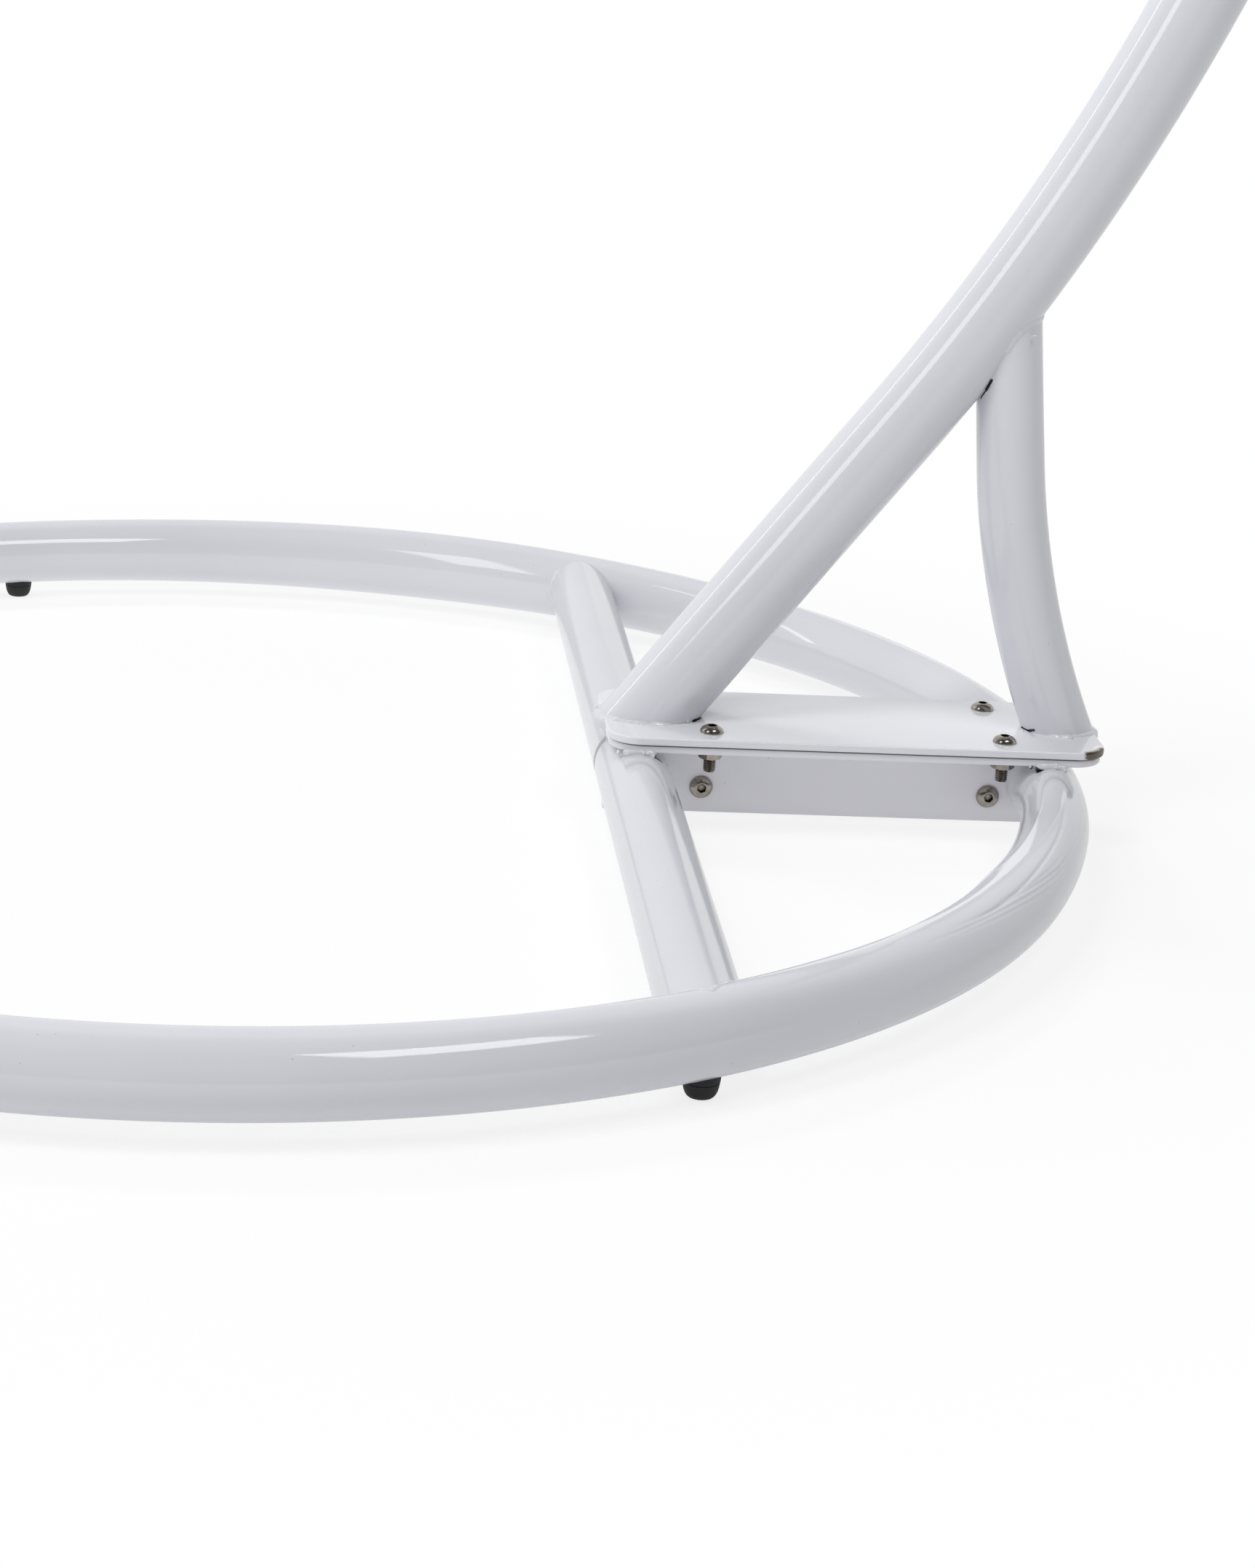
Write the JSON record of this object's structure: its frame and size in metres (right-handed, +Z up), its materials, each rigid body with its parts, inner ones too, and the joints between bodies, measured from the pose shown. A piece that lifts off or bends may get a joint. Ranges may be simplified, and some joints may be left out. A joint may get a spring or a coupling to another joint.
{
  "type": "hanging chair stand",
  "caption": "Tubular steel floor stand for a hanging chair: round base ring with cross legs, bolted flange plates, curved leaning mast with brace, and a swivel snap hook at the tip.",
  "frame": {"origin": "centre of the bounding box at the floor, under the mast's plane", "axes": "+Z up, +X from the base ring's centre towards the mast's foot, mast plane at y = 0"},
  "size_m": [1.218, 1.0618, 1.9322],
  "materials": {
    "white_paint": "gloss powder coat",
    "fastener_steel": "bright zinc",
    "inner_steel": "bare",
    "hook_steel": "polished",
    "foot_rubber": "matte",
    "cap_plastic": "satin"
  },
  "bodies": {
    "stand": {"base_flange_back": "white_paint", "base_flange_front": "white_paint", "brace": "white_paint", "feet": "foot_rubber", "flange_bolts": "fastener_steel", "flange_nuts": "fastener_steel", "foot_screws": "fastener_steel", "hanger_eye": "white_paint", "leg_back": "white_paint", "leg_front": "white_paint", "mast_end_cap": "cap_plastic", "mast_flange": "white_paint", "mast_joint_bolts": "fastener_steel", "mast_joint_nuts": "fastener_steel", "mast_joint_sleeve": "inner_steel", "mast_lower": "white_paint", "mast_upper": "white_paint", "ring_back_half": "white_paint", "ring_front_half": "white_paint", "ring_joint_screws": "fastener_steel", "ring_joint_sleeve": "inner_steel", "web_back": "white_paint", "web_bolts": "fastener_steel", "web_front": "white_paint", "web_nuts": "fastener_steel"},
    "loop": {"swivel_loop": "hook_steel"},
    "hook": {"hook": "hook_steel"},
    "gate": {"hook_gate": "hook_steel", "gate_pin": "hook_steel"}
  },
  "joints": [
    {"name": "loop_swing", "type": "hinge", "parent": "stand", "child": "loop", "pos_m": [-0.05339, 0, 1.84453], "axis": [1, 0, 0], "range_deg": [-35, 35]},
    {"name": "hook_swivel", "type": "hinge", "parent": "loop", "child": "hook", "pos_m": [-0.05339, 0, 1.82], "axis": [0, 0, 1], "continuous": true},
    {"name": "gate_open", "type": "hinge", "parent": "hook", "child": "gate", "pos_m": [-0.0352, 0, 1.79848], "axis": [0, 1, 0], "range_deg": [0, 35], "stiffness_Nm_per_rad": 0.02}
  ]
}
